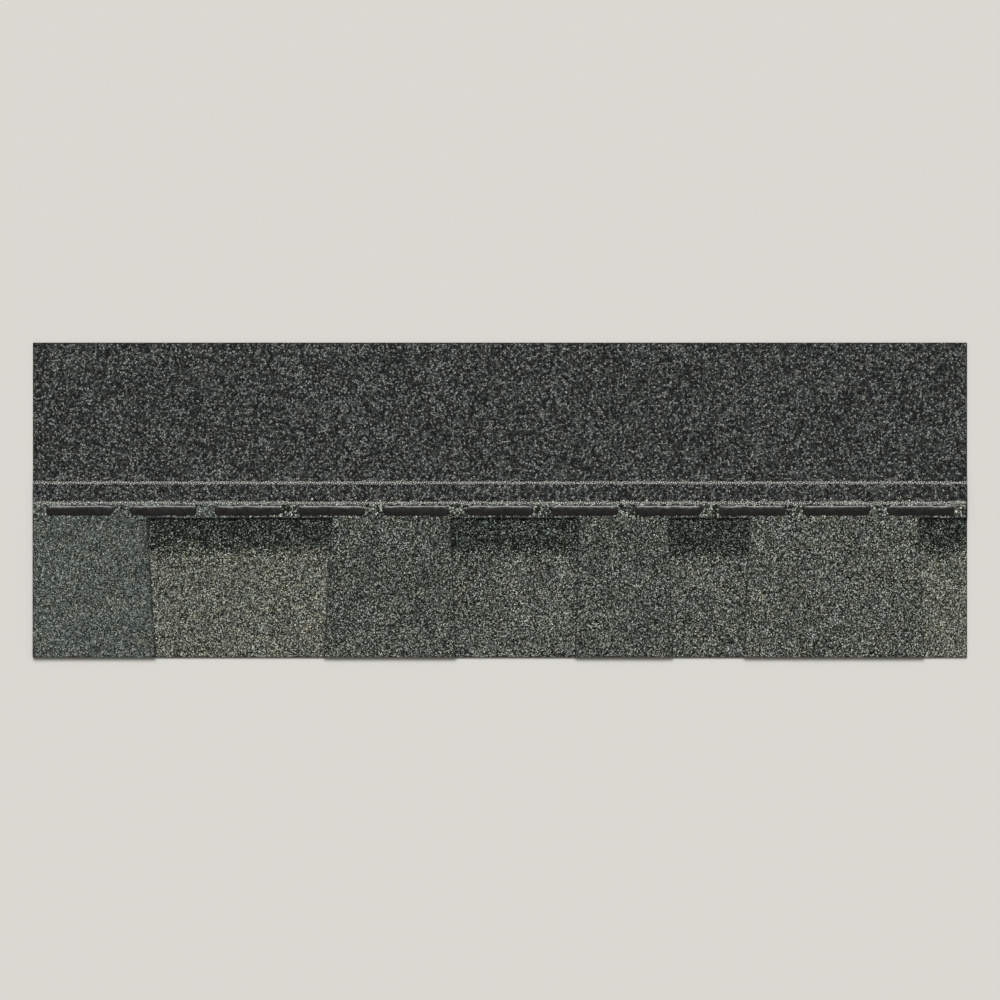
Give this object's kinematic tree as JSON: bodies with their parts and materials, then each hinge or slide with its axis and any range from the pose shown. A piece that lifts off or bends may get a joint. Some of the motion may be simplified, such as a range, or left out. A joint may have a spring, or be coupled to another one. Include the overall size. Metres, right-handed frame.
{
  "type": "laminated asphalt shingle",
  "caption": "Flat two-layer asphalt roofing shingle with granule surface, wide teeth and cut-outs over a backer strip, sealant dashes on the face and a film on the back.",
  "frame": {"origin": "middle of the underside, on the floor or deck that the shingle lies on", "axes": "+X along the shingle, +Y from the butt edge with the teeth up to the plain top edge, +Z out of the granule face"},
  "size_m": [1, 0.337, 0.0066],
  "materials": {
    "granule_overlay": "matte",
    "granule_backer": "matte",
    "laminating_asphalt": "satin",
    "sealant_asphalt": "gloss",
    "clear_film": "gloss"
  },
  "bodies": {
    "root": {"overlay_sheet": "granule_overlay", "backer_strip": "granule_backer", "laminating_adhesive": "laminating_asphalt", "sealant_strip": "sealant_asphalt", "release_film": "clear_film"}
  },
  "joints": []
}
